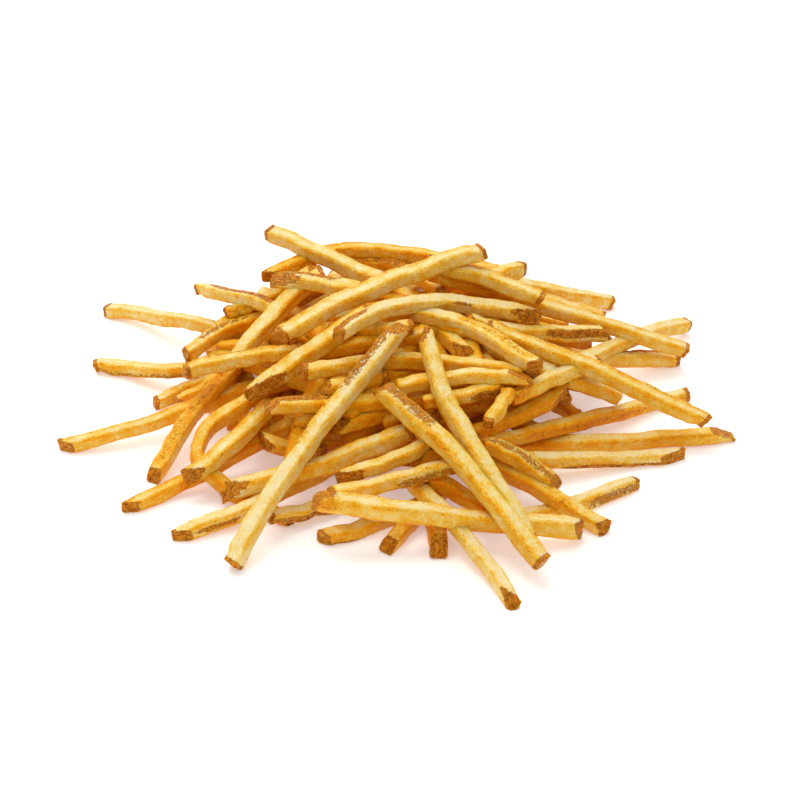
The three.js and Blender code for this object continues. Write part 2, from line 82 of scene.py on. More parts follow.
# The fries that show, by the part of the heap they lie in, from its bottom to its top. Each row is
# the width of the section, how the fry rests (a share, or the heights of its two ends), the points
# [across, up] of its middle line as seen from the front, how golden it is, its two ends, and any
# patches: the kind, the side, half the angle it covers, and where it starts and stops, if it does.
FRIES = {
    "fries_left": [
        (4.7, (0, 14), [(-113, 35), (-93, 32), (-42, 23)], 0.15, (CAP, CAP),
         [(TOASTED, 315, 18), (TOASTED, 135, 14, 0, 0.6)]),
        (5.0, TABLE, [(-118, 13), (-101, 12), (-83, 12), (-52, 20)], 0.38, (CAP, CAP),
         [(WORN, 112, 22, 0, 0.9)]),
        (5.0, TABLE, [(-131, -18), (-100, -10), (-72, 0), (-50, 6)], 0.34, ((NEAR, 7), CAP),
         [(TOASTED, 320, 26, 0.1, 0.7)]),
        (5.0, TABLE, [(-106, -42), (-78, -29), (-38, -7)], 0.56, ((NEAR, 7), CAP),
         [(TOASTED, 315, 24, 0, 0.7)]),
    ],
    "fries_right": [
        (5.0, TABLE, [(110, -22), (93, -23), (35, -22), (5, -15)], 0.22, ((NEAR, 12), CAP),
         [(DARK, 118, 12, 0, 0.45), (TOASTED, 110, 26, 0.2, 0.8)]),
        (5.0, (0, 14), [(107, 16), (82, 16), (60, 13)], 0.15, (CAP, CAP), [(SKIN, 325, 22, 0, 0.55)]),
        (5.0, (1, 20), [(111, 29), (97, 26), (62, 12)], 0.26, (CAP, CAP)),
        (4.9, (31, 14), [(39, 43), (79, 32)], 0.38, (CAP, TIP)),
        (5.0, (3, 37), [(82, 38), (55, 43), (27, 51)], 0.26, (CAP, CAP), [(TOASTED, 315, 20)]),
        (5.3, TABLE, [(91, -32), (65, -42), (39, -47)], 0.19, ((FAR, 3), CAP),
         [(WORN, NEAR, 40, 0, 0.42)]),
    ],
    "fries_front": [
        (5.0, TABLE, [(-67, -35), (-43, -47)], 0.6, (CAP, (TOP, 6))),
        (5.3, TABLE, [(-87, -53), (-54, -40), (-39, -32), (-14, -20)], 0.3, ((NEAR, 8), CAP),
         [(DARK, 95, 13, 0.1, 0.32)]),
        (5.3, TABLE, [(-30, -54), (-12, -49), (12, -39)], 0.34, ((NEAR, 5), CAP),
         [(SKIN, 140, 24, 0, 0.35)]),
        (5.3, TABLE, [(-5, -57), (16, -35)], 0.45, ((TOP, 7), CAP)),
        (6.6, TABLE, [(15, -59), (14, -49), (11, -35)], 0.56, ((TOP, 9), CAP)),
        (5.3, TABLE, [(44, -79), (31, -60), (5, -32)], 0.19, ((45, 8), CAP)),
        (5.3, TABLE, [(129, -13), (93, -16), (41, -18)], 0.38, ((TOP, 13), CAP)),
        (5.0, TABLE, [(111, 2), (84, -5), (31, -18)], 0.25, (CAP, CAP), [(TOASTED, 90, 34, 0, 0.8)]),
        (4.7, TABLE, [(-50, -46), (-36, -43), (-22, -40)], 0.22, (TIP, CAP), [(DARK, 110, 30)]),
    ],
    "fries_left_slope": [
        (4.7, TABLE, [(-95, -1), (-63, 12)], 0.26, (CAP, CAP)),
        (4.4, TABLE, [(-86, -1), (-62, 13)], 0.38, ((NEAR, 5), CAP)),
        (5.3, HEAP, [(-96, -30), (-80, -5), (-63, 14)], 0.38, ((TOP, 6), CAP),
         [(TOASTED, 0, 40, 0.1, 1)]),
        (5.0, HEAP, [(-53, 5), (-62, -2), (-75, -12), (-80, -21), (-78, -25), (-67, -35)], 0.5,
         (CAP, TIP), [(TOASTED, 300, 26, 0.2, 0.7)]),
        (5.9, HEAP, [(-82, -30), (-68, -19), (-51, -3)], 0.34, ((60, 8), CAP), [(TOASTED, 320, 22)]),
        (5.0, (30, 38), [(-69, 28), (-49, 41), (-32, 51)], 0.3, (PALE, (TOP, 6))),
        (5.0, HEAP, [(-83, 18), (-68, 27), (-51, 32)], 0.3, (TIP, PALE), [(WORN, 350, 30, 0.2, 0.8)]),
        (4.1, (12, 20), [(-66, 35), (-54, 37)], 0.2, (CAP, CAP)),
        (4.7, (18, 36), [(-78, 43), (-62, 40), (-48, 36)], 0.22, (CAP, CAP), [(SKIN, 350, 36, 0.2, 1)]),
        (5.9, (24, 34), [(-64, 16), (-47, 35), (-31, 48)], 0.26, (PALE, CAP),
         [(TOASTED, 60, 20, 0.2, 0.9)]),
        (5.3, HEAP, [(-83, 11), (-62, 16), (-39, 19)], 0.34, (CAP, CAP),
         [(TOASTED, 335, 24), (SKIN, 320, 12, 0.2, 0.7)]),
    ],
    "fries_under_middle": [
        (5.6, HEAP, [(27, -21), (54, -35), (79, -50)], 0.38, (CAP, (45, 4)),
         [(TOASTED, 20, 36, 0.6, 0.8)]),
        (4.7, HEAP, [(-55, -14), (-46, -18), (-30, -20)], 0.38, ((70, 12), CAP)),
        (5.0, HEAP, [(0, -23), (39, -18)], 0.45, ((70, 12), CAP)),
        (5.0, HEAP, [(-23, -31), (-2, -23), (12, -17)], 0.38, ((80, 12), CAP)),
        (5.3, HEAP, [(12, -30), (36, -44)], 0.45, (CAP, TIP)),
        (5.3, HEAP, [(-26, -37), (0, -31), (27, -24)], 0.3, (TIP, CAP), [(WORN, 105, 34, 0.45, 1)]),
        (5.3, HEAP, [(-25, -11), (-5, -6), (14, -7)], 0.49, ((TOP, 9), CAP)),
        (4.7, HEAP, [(-42, -10), (-21, -5)], 0.45, (TIP, CAP)),
        (5.6, HEAP, [(84, 2), (49, 14)], 0.11, (PALE, CAP)),
        (5.3, HEAP, [(44, 1), (60, 8.5), (76, 14)], 0.15, (PALE, CAP), [(TOASTED, 60, 60, 0, 0.15)]),
    ],
    "fries_middle": [
        (5.3, HEAP, [(-51, -2), (-18, -1), (16, 0)], 0.45, ((TOP, 7), CAP), [(SKIN, 335, 34, 0, 0.42)]),
        (5.3, HEAP, [(-34, 19), (-12, 22), (10, 25)], 0.41, (CAP, CAP), [(TOASTED, 320, 24)]),
        (5.3, HEAP, [(-37, 11), (1, 15), (46, 11)], 0.38, (CAP, PALE)),
        (5.0, HEAP, [(-30, 4), (-6, 9)], 0.49, ((TOP, 6), CAP)),
        (5.0, HEAP, [(10, -1), (28, 2), (45, 6)], 0.45, (PALE, (NEAR, 12)), [(SKIN, 100, 40, 0.45, 1)]),
        (5.3, HEAP, [(0, 5), (25, 9), (51, 9)], 0.41, (PALE, (TOP, 12)), [(SKIN, 20, 50, 0.84, 1)]),
        (4.7, HEAP, [(-18, 26), (4, 28)], 0.49, (CAP, CAP)),
    ],
    "fries_right_slope": [
        (5.3, HEAP, [(66, 4), (49, -5), (29, -14)], 0.45, ((100, 15), CAP)),
        (4.7, HEAP, [(35, -9), (42, 3)], 0.38, (CAP, PALE)),
        (5.6, HEAP, [(32, -16), (48, -24), (61, -33)], 0.38, (TIP, (TOP, 5)), [(WORN, TOP, 34)]),
    ],
    "fries_back_top": [
        (5.3, (25, 36), [(-21, 54), (-2, 52), (39, 38)], 0.49, (CAP, CAP), [(SKIN, TOP, 46, 0, 0.5)]),
        (5.0, HEAP, [(19, 39), (10, 46), (0, 51)], 0.38, ((TOP, 9), CAP)),
        (5.6, (34, 43), [(-49, 47), (-35, 46), (-15, 42)], 0.3, ((30, 15), CAP),
         [(SKIN, 335, 20, 0.2, 0.7)]),
        (5.3, (44, 7), [(12, 49), (70, 32), (110, 19)], 0.3, (PALE, CAP), [(TOASTED, 315, 22)]),
        (5.6, HEAP, [(118, -8), (74, 12), (35, 27)], 0.38, (CAP, CAP), [(TOASTED, 320, 24)]),
        (5.3, (36, 16), [(27, 30), (47, 26), (80, 26)], 0.26, (CAP, (TOP, 5)),
         [(SKIN, 70, 30, 0.5, 1)]),
    ],
    "fries_over_front": [
        (6.2, HEAP, [(-69, -36), (-32, -26), (4, -12)], 0.3, ((45, 13), CAP),
         [(TOASTED, 315, 20, 0.1, 1)]),
        (6.5, HEAP, [(-33, -39), (5, -44), (70, -50)], 0.3, ((TOP, 5), (60, 5)),
         [(SKIN, 340, 55, 0, 0.08), (TOASTED, 60, 50, 0, 0.12), (TOASTED, 320, 20, 0.1, 0.8)]),
        (6.0, HEAP, [(10, 26), (16, 4), (33, -26), (50, -54)], 0.3, ((60, 8), CAP),
         [(TOASTED, 135, 20)]),
        (6.5, HEAP, [(-7, 5), (25, -26), (55, -63)], 0.34, ((TOP, 5), CAP),
         [(WORN, 350, 40, 0, 0.3), (TOASTED, 45, 18, 0.2, 1)]),
    ],
    "fries_top": [
        (5.0, (32, 30), [(-52, 48), (-32, 56), (-10, 58), (19, 54), (39, 49)], 0.5,
         ((NEAR, 6), CAP), [(TOASTED, 330, 20), (TOASTED, 40, 20, 0, 0.3)]),
        (6.2, HEAP, [(-58, 1), (-40, 15), (-12, 34)], 0.38, ((78, 19), CAP)),
        (6.2, HEAP, [(-65, -63), (-38, -20), (1, 29)], 0.15, (CAP, (TOP, 9)),
         [(WORN, 335, 34, 0.68, 1), (TOASTED, 320, 26, 0.4, 0.7)]),
        (5.6, (34, 25), [(6, 34), (27, 28), (53, 13)], 0.25, (PALE, (NEAR, 5)),
         [(TOASTED, 350, 40, 0.3, 0.95)]),
        (5.5, (37, 35), [(-24, 26), (-8, 34), (12, 38), (32, 36), (54, 32)], 0.2,
         (CAP, (60, 14)), [(SKIN, 335, 30, 0, 0.22), (DARK, 45, 8, 0.62, 0.7)]),
        (5.9, (34, 37), [(46, 51), (33, 46)], 0.38, (CAP, CAP)),
        (5.6, (39, 47), [(54, 39), (35, 47), (12, 53)], 0.22, (CAP, CAP), [(TOASTED, 330, 22)]),
        (5.9, (49, 46), [(-50, 65), (-21, 52), (-3, 44)], 0.26, (CAP, PALE), [(TOASTED, 320, 16)]),
        (6.2, (43, 56), [(-46, 25), (-19, 40), (31, 58)], 0.26, (CAP, CAP), [(TOASTED, 320, 22)]),
    ],
}

# The fries of the inside and of the back slope, laid by rule under the ones above.
HIDDEN_COUNT = 46
BACK_COUNT = 36
BACK_REACH = 100
HIDDEN_MIDDLE_Y = 9
HIDDEN_REACH = 88
HIDDEN_SQUASH = 0.8
HIDDEN_LIMIT_BACK = (84, 90)
HIDDEN_LIMIT_FRONT = (74, 48)

# What the draws of the hidden fries range over.
HIDDEN_HALF = (28, 50)
HIDDEN_BOW = (-4, 4)
HIDDEN_WIDE = (4.8, 6)
INNER_TURN = (-1.2, 1.2)
INNER_SHARE = (0.25, 0.85)
BACK_OUT = (0.02, 1)
BACK_TURN = (-1.5, 1.5)
BACK_SHARE = (0.8, 1)

# More fries under those, that close the gaps between them.
FILLING_COUNT = 60
FILLING_REACH = 50
FILLING_Y = 8
FILLING_SHARE = (0.2, 0.72)
FILLING_TURN = (-1.4, 1.4)
FILLING_HALF = (22, 36)
FILLING_WIDE = 5.2
FILLING_LOWEST = 3

# How near, and how far above, other fries shelter a place, and how fast the shelter grows; the shelter sets
# the painted shade of the flesh.
SHELTER_REACH = 7
SHELTER_RISE = 5
SHELTER_RATE = 0.2

# The outline that no hidden fry rises over, seen from the front.
OUTLINE_TOP = 57
OUTLINE_FALL = 0.0035
OUTLINE_MARGIN = 0.7
GOLDEN_ANGLE = math.radians(137.508)
GOLDEN_RATIO = 0.618

# How finely a fry's line is followed and sampled while it settles.
SPLINE_STEPS = 201
SAMPLES = 19

# The rounds of settling, and how far a fry sinks in each round of the last two kinds.
FIRST_STEPS = 30
ARRANGE_STEPS = 80
SINK_STEPS = 12
SINK_PER_STEP = 0.5
REST_STEPS = 40
REST_PER_STEP = 0.5

# As shares of their widths, how far sections sink into each other and into the mean surface and when
# they meet or touch, and the share of a push that a fry that shows takes from a hidden one.
CLOSENESS = 0.8
BEDDING = 0.3
OVERLAP_REACH = 0.95
TOUCHING = 0.42
HIDDEN_PUSH = 0.12

# How strongly a fry is drawn to its resting height, to where it was and to the ground, how stiff it
# is, and how much of the way it moves in one round.
HOMING = 0.03
HOMING_SINKING = 0.001
KEEPING = 0.15
GROUND_WEIGHT = 6
STIFFNESS = 0.075 * SAMPLES
FIRST_RELAXING = 0.5
RELAXING = 0.8

ALONG = np.linspace(0, 1, SAMPLES)
BASIS = np.stack([1 - ALONG, ALONG, 4 * ALONG * (1 - ALONG)], axis=1)

TO_EYE = np.array([0, -math.cos(VIEW_TILT), math.sin(VIEW_TILT)])
VIEW_UP = np.array([0, math.sin(VIEW_TILT), math.cos(VIEW_TILT)])
AIM = np.array([0, 0, VIEW_AIM])
EYE = AIM + VIEW_DISTANCE * TO_EYE

DRAW_FACTOR = 16807
DRAW_RANGE = 2147483647
draw_state = 20


def draw(low, high):
    """A repeatable draw between two values."""
    global draw_state
    draw_state = (draw_state * DRAW_FACTOR) % DRAW_RANGE
    return low + (high - low) * (draw_state / DRAW_RANGE)


def spline_at(points, t):
    """Points of the smooth line through the given points, for t from 0 to 1."""
    last = len(points) - 1
    whole = np.floor(t * last).astype(int)
    part = (t * last - whole)[:, None]
    before, start, end, after = (points[np.clip(whole + k, 0, last)] for k in (-1, 0, 1, 2))
    leaving = (end - before) / 2
    arriving = (after - start) / 2
    cubic = 2 * start - 2 * end + leaving + arriving
    square = 3 * end - 3 * start - 2 * leaving - arriving
    return cubic * part**3 + square * part**2 + leaving * part + start


def smooth_line(points):
    """Evenly spaced points along a smooth line."""
    points = np.array(points, float)
    steps = np.linspace(0, 1, SPLINE_STEPS)
    fine = spline_at(points, steps)
    gone = np.concatenate([[0], np.cumsum(np.linalg.norm(np.diff(fine, axis=0), axis=1))])
    return spline_at(points, np.interp(ALONG * gone[-1], gone, steps))


def mean_surface(x, y):
    """The height of the heap's mean surface over a place on the ground."""
    dy = y - HEAP_MIDDLE_Y
    reach = np.hypot(x / HEAP_REACH, dy / np.where(dy > 0, HEAP_REACH_BACK, HEAP_REACH))
    return HEAP_HEIGHT * np.maximum(0, 1 - reach**HEAP_CURVE)


def inside_heap(x, y):
    """Whether a place on the plan is within the reach of the hidden fries."""
    dy = y - HIDDEN_MIDDLE_Y
    limit_x, limit_y = HIDDEN_LIMIT_BACK if dy > 0 else HIDDEN_LIMIT_FRONT
    return math.hypot(x / limit_x, dy / limit_y) < 1


def lie_across(x, y, turn, rest):
    """A hidden fry lying across a place on the plan, or None where it would show."""
    half = draw(*HIDDEN_HALF)
    bow = draw(*HIDDEN_BOW)
    wide = draw(*HIDDEN_WIDE)
    points = [
        (x - half * math.cos(turn), y - half * math.sin(turn)),
        (x - bow * math.sin(turn), y + bow * math.cos(turn)),
        (x + half * math.cos(turn), y + half * math.sin(turn)),
    ]
    return (wide, rest, points) if all(inside_heap(*point) for point in points) else None


def place_inner(k):
    """The direction and distance from the middle, and the turn, of a fry spread round the heap."""
    around = GOLDEN_ANGLE * k
    return around, HIDDEN_REACH * math.sqrt((k * GOLDEN_RATIO) % 1), around + math.pi / 2


def place_back(k):
    """The same for a fry over the back slope, the side turned away from the front."""
    around = math.pi * ((k * GOLDEN_RATIO) % 1)
    return around, BACK_REACH * math.sqrt(draw(*BACK_OUT)), around


def lay_hidden(count, place, turning, resting):
    """Hidden fries, placed by a rule and turned by a seeded draw, without those that would show."""
    rows = []
    k = 0
    while len(rows) < count:
        around, out, turn = place(k)
        x = out * math.cos(around)
        y = HIDDEN_MIDDLE_Y + HIDDEN_SQUASH * out * math.sin(around)
        row = lie_across(x, y, turn + draw(*turning), draw(*resting))
        if row:
            rows.append(row)
        k += 1
    return rows


class Heap:
    """All the fries at once: their widths, lines and end heights, from the lowest to the top."""

    def __init__(self, planned, seen):
        rows = [*planned, *seen]
        self.count = len(rows)
        self.seen = np.arange(self.count) >= len(planned)
        self.wide = np.array([row[0] for row in rows], float)
        self.line = np.array([smooth_line(row[2]) for row in rows])
        self.free = np.array([not isinstance(row[1], tuple) for row in rows])
        self.share = np.array([0 if isinstance(row[1], tuple) else row[1] for row in rows])
        given = np.array([row[1] if isinstance(row[1], tuple) else (0, 0) for row in rows])
        self.given = given @ BASIS[:, :2].T + self.wide[:, None] / 2
        self.ends = np.stack([self.wide, self.wide, np.zeros(self.count)], axis=1)
        self.path = np.zeros((self.count, SAMPLES, 3))
        self.trace()

    def trace(self, which=slice(None)):
        """Places the samples of the fries from the heights of their ends."""
        floor = self.wide[which, None] / 2
        height = np.maximum(self.ends[which] @ BASIS.T, floor)[..., None]
        line = self.line[which]
        planned = np.concatenate([line, height], axis=-1)
        ray = AIM + line[..., 1:] * VIEW_UP + line[..., :1] * [1, 0, 0] - EYE
        seen = EYE + ray * (height - EYE[2]) / ray[..., 2:]
        self.path[which] = np.where(self.seen[which, None, None], seen, planned)

    def resting_height(self):
        """Where the fries would lie if nothing were under or over them."""
        level = mean_surface(self.path[..., 0], self.path[..., 1]) * self.share[:, None]
        level = np.maximum(level - BEDDING * self.wide[:, None], self.wide[:, None] / 2)
        return np.where(self.free[:, None], level, self.given)

    def relax(self, weight, height, stiffness, amount):
        """Moves the ends and the rise toward those that fit the wanted heights best."""
        sums = np.einsum("nk,ka,kb->nab", weight, BASIS, BASIS)
        sums[:, 2, 2] += stiffness
        right = np.einsum("nk,ka->na", weight * height, BASIS)
        self.ends += amount * (np.linalg.solve(sums, right[..., None])[..., 0] - self.ends)

    def pushes(self):
        """How far each sample is pushed up by those under it and down by those over it."""
        push = np.zeros((self.count, SAMPLES))
        drop = np.zeros((self.count, SAMPLES))
        margin = self.wide[:, None] / 2
        low = self.path[..., :2].min(axis=1) - margin
        high = self.path[..., :2].max(axis=1) + margin
        near = np.all((low[:, None] < high[None]) & (low[None] < high[:, None]), axis=2)
        upper, lower = np.nonzero(np.tril(near, -1))
        reach = ((self.wide[upper] + self.wide[lower]) / 2)[:, None, None]
        share = np.where(self.seen[upper] == self.seen[lower], 0.5, HIDDEN_PUSH)[:, None]
        gap = self.path[upper][:, :, None] - self.path[lower][:, None]
        overlap = reach * CLOSENESS - gap[..., 2]
        meets = (overlap > 0) & (np.hypot(gap[..., 0], gap[..., 1]) < reach * OVERLAP_REACH)
        overlap = np.where(meets, overlap, 0)
        np.maximum.at(push, upper, overlap.max(axis=2) * share)
        np.maximum.at(drop, lower, overlap.max(axis=1) * (1 - share))
        return push, drop

    def settle(self):
        """Moves every fry up and down until none passes through another."""
        for _ in range(FIRST_STEPS):
            self.trace()
            self.relax(np.ones((self.count, SAMPLES)), self.resting_height(), SAMPLES,
                       FIRST_RELAXING)
        floor = np.broadcast_to(self.wide[:, None] / 2, (self.count, SAMPLES))
        for step in range(ARRANGE_STEPS + SINK_STEPS):
            self.trace()
            push, drop = self.pushes()
            sinking = self.free[:, None] & (step >= ARRANGE_STEPS)
            homing = np.where(sinking, HOMING_SINKING, HOMING)
            height = self.path[..., 2]
            moved = height + push - drop
            grounded = height - drop < floor
            moving = np.where(grounded, GROUND_WEIGHT, (push > 0) | (drop > 0))
            moved = np.where(grounded, np.maximum(moved, floor), moved)
            kept = height - np.where(sinking, SINK_PER_STEP, 0)
            weight = moving + homing + KEEPING
            wanted = (moving * moved + homing * self.resting_height() + KEEPING * kept) / weight
            self.relax(weight, wanted, STIFFNESS, RELAXING)
        self.trace()

    def loose(self, k):
        """Whether a fry touches neither the core nor a fry laid before it."""
        path = self.path[k]
        core = (path - [0, CORE_Y, 0]) / [CORE_RADIUS, CORE_RADIUS, CORE_HEIGHT]
        if np.any(np.linalg.norm(core, axis=1) < 1):
            return False
        start = self.path[:k, :-1][:, :, None]
        run = self.path[:k, 1:][:, :, None] - start
        away = path - start
        t = np.clip((away * run).sum(-1) / (run**2).sum(-1), 0, 1)[..., None]
        distance = np.linalg.norm(away - t * run, axis=-1).reshape(k, -1)
        reach = TOUCHING * (self.wide[:k] + self.wide[k])
        return k == 0 or not np.any(distance.min(axis=1) < reach)

    def over_outline(self, k):
        """Whether a hidden fry shows over the heap's outline."""
        x, y, z = self.path[k].T
        up = (z - VIEW_AIM) * math.cos(VIEW_TILT) + y * math.sin(VIEW_TILT)
        over = up + OUTLINE_MARGIN * self.wide[k] > OUTLINE_TOP - OUTLINE_FALL * x * x
        return not self.seen[k] and np.any(over)

    def rest_on(self):
        """Lets each fry that hangs clear, or shows over the outline, sink until it does not."""
        for k in range(self.count):
            for _ in range(REST_STEPS):
                if not (self.over_outline(k) or self.loose(k)):
                    break
                self.ends[k, :2] = np.maximum(self.ends[k, :2] - REST_PER_STEP, self.wide[k] / 2)
                self.trace(slice(k, k + 1))

    def shelter(self):
        """How much of the heap lies over each sample, which sets its painted shade: 0 in the open, up to 1
        deep inside.
        """
        spots = self.path.reshape(-1, 3)
        cover = np.empty((self.count, SAMPLES))
        for k in range(self.count):
            away = spots - self.path[k][:, None]
            over = np.clip(away[..., 2] / SHELTER_RISE, 0, 1)
            close = np.exp(-(away[..., 0]**2 + away[..., 1]**2) / SHELTER_REACH**2)
            cover[k] = (over * close).sum(axis=1)
        return 1 - np.exp(-SHELTER_RATE * cover)


def lay_filling():
    """The paths of fries that fill the gaps deep in the middle. They need no settling."""
    paths = []
    for k in range(FILLING_COUNT):
        around = GOLDEN_ANGLE * k
        out = FILLING_REACH * math.sqrt((k + 0.5) / FILLING_COUNT)
        x, y = out * math.cos(around), FILLING_Y + HIDDEN_SQUASH * out * math.sin(around)
        turn = around + math.pi / 2 + draw(*FILLING_TURN)
        half = draw(*FILLING_HALF)
        share = draw(*FILLING_SHARE)
        ends = [(x - half * math.cos(turn), y - half * math.sin(turn)),
                (x + half * math.cos(turn), y + half * math.sin(turn))]
        line = smooth_line(ends)
        height = mean_surface(line[:, 0], line[:, 1]) * share
        height = BASIS @ np.linalg.lstsq(BASIS, height, rcond=None)[0]
        paths.append(np.column_stack([line, np.maximum(height, FILLING_LOWEST)]))
    return paths


def lay_heap():
    """The settled heap: the hidden fries first, then those that show."""
    planned = lay_hidden(HIDDEN_COUNT, place_inner, INNER_TURN, INNER_SHARE)
    planned += lay_hidden(BACK_COUNT, place_back, BACK_TURN, BACK_SHARE)
    seen = [row[:3] for rows in FRIES.values() for row in rows]
    heap = Heap(planned, seen)
    heap.settle()
    heap.rest_on()
    return heap


# ---- Modelling ----

# The straight bars that fries are made from: their size, the cuts across a side, the length between
# rings, the rounding of their edges and the hollow of their sides.
BLANK_WIDTH = 5.3 * MM
BLANK_LENGTHS = [length * MM for length in (30, 50, 70, 90, 115)]
CUTS_SEEN = 3
CUTS_HIDDEN = 1
RING_SEEN = 0.6 * MM
RING_HIDDEN = 1.7 * MM
EDGE_ROUND = 1.2 * MM
EDGE_SEGMENTS = 3
END_ROUND = 0.4 * MM
HOLLOW = 0.965
NEARLY = 0.01 * MM

# What its rounding takes off a fry, in width and, in millimetres, at each end.
ROUNDING_ALLOWANCE = 0.4 * MM
END_ALLOWANCE = 1.2

# How much a section is flatter or taller than square, swells along the fry, and narrows at the end.
FLATNESS = (0.93, 1.07)
SWELL = 0.04
SWELL_WAVES = (0.8, 1.8)
PINCH = (0, 0.16)
PINCH_REACH = 9 * MM

# A slanted end: what is left of the half width at its tip and where it starts, and how it curves.
SLANT_TIP = -0.55
SLANT_TOP = 1.25
SLANT_ROUND = 0.8

# The small slice off a tip: the sides it faces, and its reach in millimetres.
TIP_SIDE = (0, 100)
TIP_REACH = (2, 4)

# How far an end that is not slanted is turned, and the stretch that eases into it.
END_TURN = 0.35
END_REACH = 7 * MM
END_FACE_DEPTH = 0.05 * MM

# How much skin is left on patches and on a slanted end, its border there, and the rim of an end.
SKIN_LEFT = {WORN: 0.57, SKIN: 0.9, DARK: 1.3}
CUT_SKIN = 0.72
CUT_BORDER = 0.25 * MM
CAP_RIM = (0.8 * MM, 2.8 * MM)

# How a patch fades and narrows toward its two ends, and how soft its sides are, in degrees.
PATCH_FADE = 5 * MM
PATCH_NARROW = 0.45
PATCH_SOFT = 20

# How brown long edges, toasted patches and pale ends are, and how far their browning reaches.
EDGE_BROWN = 0.6
EDGE_BAND = (0.35, 0.95)
TOASTED_BROWN = 0.68
PALE_BROWN = 0.6
END_BROWN_START = 0.3 * MM
END_BROWN_STOP = 1.6 * MM
TIP_BROWN_STOP = 4 * MM

# How much painted shade deepens the gold of the flesh under other fries, and on sides that face the ground.
SHELTER_PAINTED_SHADE = 0.5
UNDERSIDE_PAINTED_SHADE = 0.6

# How far apart in one large grain the fries are cut, in metres, so that each has its own.
GRAIN_SHIFT = 5

# The relief, from wide swells to the crust of the skin: the size and the detail of its noise, its
# height, whether it is stretched along the fry, and whether only the skin has it.
RELIEF = {
    "swell": (9 * MM, 2, 1.25 * MM, False, False),
    "dent": (2.4 * MM, 2, 0.75 * MM, True, False),
    "wrinkle": (0.8 * MM, 2, 0.45 * MM, True, False),
    "crust": (1 * MM, 3, 0.6 * MM, False, True),
}
RELIEF_STRETCH = 4
ROUGH_STEPS = (0.25, 0.5, 0.75, 1.0)

# How a fry is bent: the points of its line and how far each strays, and its roll and its twist.
BEND_POINTS = 8
BEND_RESOLUTION = 8
WIGGLE = 0.4 * MM
ROLL = 0.15
TWIST = 0.25

# What the looks of the hidden fries are drawn from: toasted edges, a slant's turn and reach, the
# gold, and the chance, start, run and spread of skin.
LONG_EDGES = [45, 135, 225, 315]
EDGE_SPREAD = 20
HIDDEN_SLANT_TURN = (-45, 45)
HIDDEN_SLANT_REACH = (4, 14)
HIDDEN_GOLDEN = (0.2, 0.5)
INSIDE_SKIN_CHANCE = 0.1
BACK_SKIN_CHANCE = 0.45
HIDDEN_SKIN_START = (0, 0.6)
HIDDEN_SKIN_RUN = (0.2, 0.4)
HIDDEN_SKIN_SPREAD = (30, 50)

# The core that is modelled, as shares of the dome that carries the lowest fries, its lumps, and the
# browning and gold of its painted shade.
CORE_SEGMENTS = 96
CORE_RINGS = 48
CORE_NARROWED = 0.8
CORE_LOWERED = 0.35
CORE_FOOT = 1 * MM
LUMP_SIZE = 6 * MM
LUMP_HEIGHT = 5 * MM
CORE_SHADE_BROWNING = 0.45
CORE_SHADE_GOLD = 0.9

# How far the heap stays clear of the surface, and between which faces the shading has an edge.
FLOOR_GAP = 0.02 * MM
SMOOTH_ANGLE = math.radians(55)

looks = random.Random(5)


def deselect():
    bpy.ops.object.select_all(action='DESELECT')


def start_edit(obj):
    """Opens an object for editing, alone and with nothing of it selected."""
    deselect()
    obj.select_set(True)
    bpy.context.view_layer.objects.active = obj
    bpy.ops.object.mode_set(mode='EDIT')
    bpy.ops.mesh.select_all(action='DESELECT')


def pick(kind, rule):
    """Selects the vertices, edges or faces of the open mesh that a rule names."""
    bpy.ops.mesh.select_mode(type=kind)
    bpy.ops.mesh.select_all(action='DESELECT')
    mesh = bpy.context.object.data
    shape = bmesh.from_edit_mesh(mesh)
    for part in {'VERT': shape.verts, 'EDGE': shape.edges, 'FACE': shape.faces}[kind]:
        part.select = rule(part)
    shape.select_flush_mode()
    bmesh.update_edit_mesh(mesh)


def shape_with(obj, kind, **settings):
    """Adds a modifier with its settings and applies it."""
    step = obj.modifiers.new(kind.title(), kind)
    for name, value in settings.items():
        setattr(step, name, value)
    bpy.context.view_layer.objects.active = obj
    bpy.ops.object.modifier_apply(modifier=step.name)


def runs_along(edge):
    """Whether an edge runs along the bar."""
    start, end = (corner.co for corner in edge.verts)
    return abs(end.x - start.x) > (end - start).length / 2


def make_blank(length, ring, cuts):
    """A straight bar with rounded edges, hollowed sides and rings of faces all along it."""
    deselect()
    middle = (length / 2, 0, 0)
    size = (length, BLANK_WIDTH, BLANK_WIDTH)
    bpy.ops.mesh.primitive_cube_add(size=1, location=middle, scale=size)
    bar = bpy.context.object
    bpy.ops.object.transform_apply(location=True, rotation=False, scale=True)
    start_edit(bar)

    def at_corner(edge):
        corner = BLANK_WIDTH / 2 - NEARLY
        return runs_along(edge) and all(min(abs(v.co.y), abs(v.co.z)) > corner for v in edge.verts)

    def at_rim(edge):
        if runs_along(edge):
            return False
        on_end = all(min(v.co.x, length - v.co.x) < NEARLY for v in edge.verts)
        normals = [abs(face.normal.x) for face in edge.link_faces]
        return on_end and min(normals) < 0.5 < max(normals)

    def at_side_middle(vertex):
        return min(abs(vertex.co.y), abs(vertex.co.z)) < NEARLY

    bpy.ops.mesh.select_all(action='SELECT')
    bpy.ops.mesh.subdivide(number_cuts=cuts)
    pick('EDGE', at_corner)
    bpy.ops.mesh.bevel(offset=EDGE_ROUND, segments=EDGE_SEGMENTS, affect='EDGES')
    pick('EDGE', runs_along)
    bpy.ops.mesh.subdivide(number_cuts=max(1, round(length / ring / (cuts + 1)) - 1))
    pick('EDGE', at_rim)
    bpy.ops.mesh.bevel(offset=END_ROUND, segments=1, affect='EDGES')
    pick('VERT', at_side_middle)
    bpy.ops.transform.resize(value=(1, HOLLOW, HOLLOW), center_override=(0, 0, 0))
    bpy.ops.object.mode_set(mode='OBJECT')
    return bar


